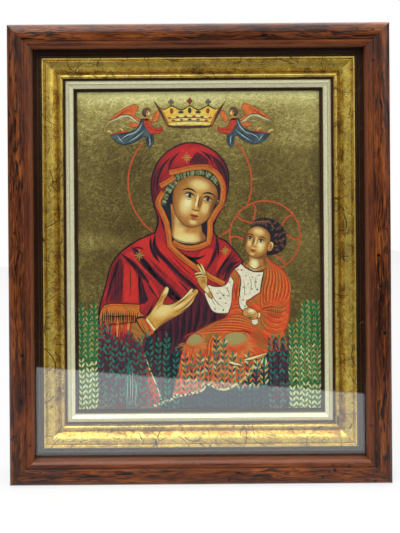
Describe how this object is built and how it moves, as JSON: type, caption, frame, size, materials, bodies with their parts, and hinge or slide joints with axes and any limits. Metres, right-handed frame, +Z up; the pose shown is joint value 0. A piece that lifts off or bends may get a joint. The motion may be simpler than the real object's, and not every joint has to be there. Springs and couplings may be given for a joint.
{
  "type": "framed religious icon",
  "caption": "Upright devotional picture on a gilded board, held by a silver slip, a gilt moulding and a glazed walnut frame with turn buttons and a ring hanger on the back.",
  "frame": {"origin": "on the surface it stands on, under the middle of the frame, halfway from its front face to its hanger's back", "axes": "+Z up, +X to the viewer's right, +Y from the front face to the back"},
  "size_m": [0.294, 0.0402, 0.354],
  "materials": {
    "walnut": "satin stained walnut with dark distress specks",
    "gilt": "antiqued gold over gesso with dark cracks",
    "silver_slip": "pale silver leaf, dark brown inner edge",
    "gilded_board": "gold leaf with a printed and painted picture",
    "dark_spacer": "matt dark brown",
    "glass": "clear float glass",
    "card": "grey-brown card",
    "hardboard": "smooth brown hardboard",
    "steel": "bright steel strip",
    "brass_fittings": "brass-plated steel",
    "rubber": "matt black rubber"
  },
  "bodies": {
    "frame": {"walnut_rail_left": "walnut", "glass_spacer_left": "dark_spacer", "gilt_rail_left": "gilt", "slip_rail_left": "silver_slip", "walnut_rail_right": "walnut", "glass_spacer_right": "dark_spacer", "gilt_rail_right": "gilt", "slip_rail_right": "silver_slip", "walnut_rail_top": "walnut", "glass_spacer_top": "dark_spacer", "gilt_rail_top": "gilt", "slip_rail_top": "silver_slip", "walnut_rail_bottom": "walnut", "glass_spacer_bottom": "dark_spacer", "gilt_rail_bottom": "gilt", "slip_rail_bottom": "silver_slip", "outer_corner_nails": "steel", "gilt_corner_nails": "steel", "glass_pane": "glass", "icon_board": "gilded_board", "filler_card": "card", "backing_board": "hardboard", "turn_button_screws": "brass_fittings", "hanger_strap": "brass_fittings", "hanger_screw": "brass_fittings", "wall_bumper_left": "rubber", "wall_bumper_right": "rubber"},
    "turn_button_left_low": {"turn_button_left_low": "brass_fittings"},
    "turn_button_left_mid": {"turn_button_left_mid": "brass_fittings"},
    "turn_button_left_high": {"turn_button_left_high": "brass_fittings"},
    "turn_button_right_low": {"turn_button_right_low": "brass_fittings"},
    "turn_button_right_mid": {"turn_button_right_mid": "brass_fittings"},
    "turn_button_right_high": {"turn_button_right_high": "brass_fittings"},
    "hanger_ring": {"hanger_ring": "brass_fittings"}
  },
  "joints": [
    {"name": "turn_button_left_low_turn", "type": "hinge", "parent": "frame", "child": "turn_button_left_low", "pos_m": [-0.1405, 0.0167, 0.0708], "axis": [0, 1, 0], "continuous": true},
    {"name": "turn_button_left_mid_turn", "type": "hinge", "parent": "frame", "child": "turn_button_left_mid", "pos_m": [-0.1405, 0.0167, 0.177], "axis": [0, 1, 0], "continuous": true},
    {"name": "turn_button_left_high_turn", "type": "hinge", "parent": "frame", "child": "turn_button_left_high", "pos_m": [-0.1405, 0.0167, 0.2832], "axis": [0, 1, 0], "continuous": true},
    {"name": "turn_button_right_low_turn", "type": "hinge", "parent": "frame", "child": "turn_button_right_low", "pos_m": [0.1405, 0.0167, 0.0708], "axis": [0, 1, 0], "continuous": true},
    {"name": "turn_button_right_mid_turn", "type": "hinge", "parent": "frame", "child": "turn_button_right_mid", "pos_m": [0.1405, 0.0167, 0.177], "axis": [0, 1, 0], "continuous": true},
    {"name": "turn_button_right_high_turn", "type": "hinge", "parent": "frame", "child": "turn_button_right_high", "pos_m": [0.1405, 0.0167, 0.2832], "axis": [0, 1, 0], "continuous": true},
    {"name": "hanger_ring_swing", "type": "hinge", "parent": "frame", "child": "hanger_ring", "pos_m": [0, 0.018, 0.3511], "axis": [1, 0, 0], "range_deg": [0, 180]}
  ]
}
